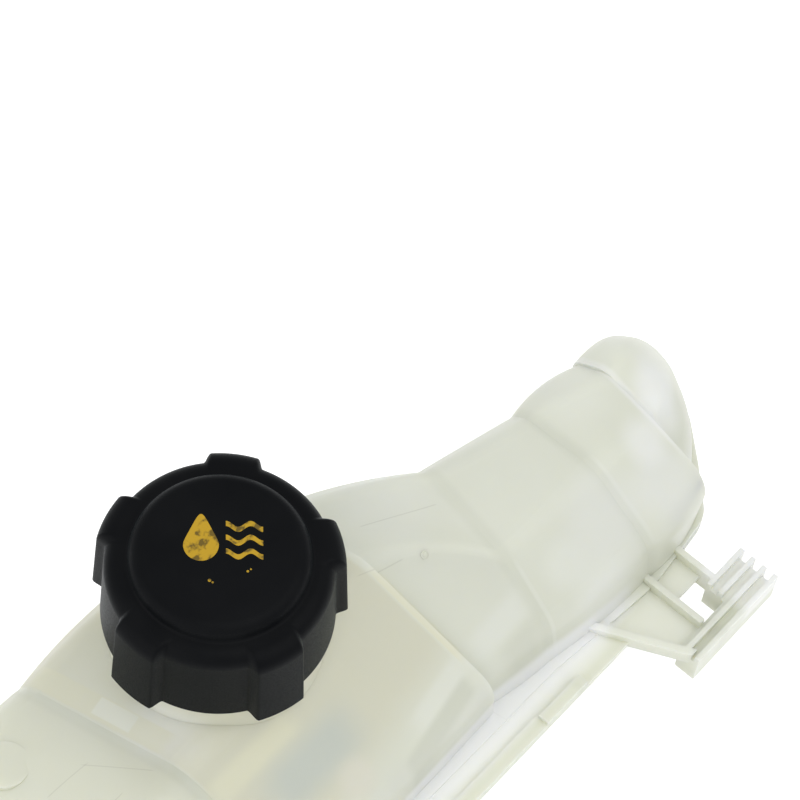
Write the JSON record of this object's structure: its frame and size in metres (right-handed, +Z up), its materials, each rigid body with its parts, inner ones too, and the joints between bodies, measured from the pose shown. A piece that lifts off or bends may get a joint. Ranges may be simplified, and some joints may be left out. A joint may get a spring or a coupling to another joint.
{
  "type": "coolant expansion tank",
  "caption": "Translucent moulded coolant expansion tank with linked chambers, a black screw cap with a pressure and vacuum valve, hose spigots and a slide bracket.",
  "frame": {"origin": "on the flat base, straight under the axis of the filler cap", "axes": "+X along the row of chambers towards the tail, +Y from the rail to the back wall, +Z up to the cap"},
  "size_m": [0.2795, 0.1294, 0.137],
  "materials": {
    "tank_plastic": "natural translucent polypropylene, satin",
    "cap_plastic": "fine spark-eroded black",
    "insert_plastic": "glass-filled black nylon",
    "valve_plastic": "natural nylon",
    "seal_rubber": "moulded",
    "valve_rubber": "moulded",
    "spring_steel": "drawn wire"
  },
  "bodies": {
    "tank": {"upper_shell": "tank_plastic", "lower_shell": "tank_plastic"},
    "insert": {"valve_insert": "insert_plastic", "bore_seal": "seal_rubber", "insert_floor": "insert_plastic", "pressure_spring": "spring_steel"},
    "cap": {"cap_shell": "cap_plastic"},
    "plate": {"pressure_plate": "valve_plastic", "seat_seal": "seal_rubber", "vacuum_spring": "spring_steel"},
    "poppet": {"vacuum_valve": "valve_rubber"}
  },
  "joints": [
    {"name": "cap_lift", "type": "slide", "parent": "tank", "child": "insert", "axis": [0, 0, 1], "range_m": [0, 0.01]},
    {"name": "cap_turn", "type": "hinge", "parent": "insert", "child": "cap", "pos_m": [0, 0, 0.105], "axis": [0, 0, 1], "range_deg": [0, 720]},
    {"name": "pressure_lift", "type": "slide", "parent": "insert", "child": "plate", "axis": [0, 0, 1], "range_m": [0, 0.0025], "stiffness_N_per_m": 1500, "springref_m": -0.006, "deforming": ["pressure_spring"]},
    {"name": "vacuum_drop", "type": "slide", "parent": "plate", "child": "poppet", "axis": [0, 0, -1], "range_m": [0, 0.0015], "stiffness_N_per_m": 300, "springref_m": -0.0015, "deforming": ["vacuum_spring"]}
  ],
  "couplings": [
    {"joint": "cap_turn", "follows": "cap_lift", "rad_per_m": 1256.6}
  ]
}
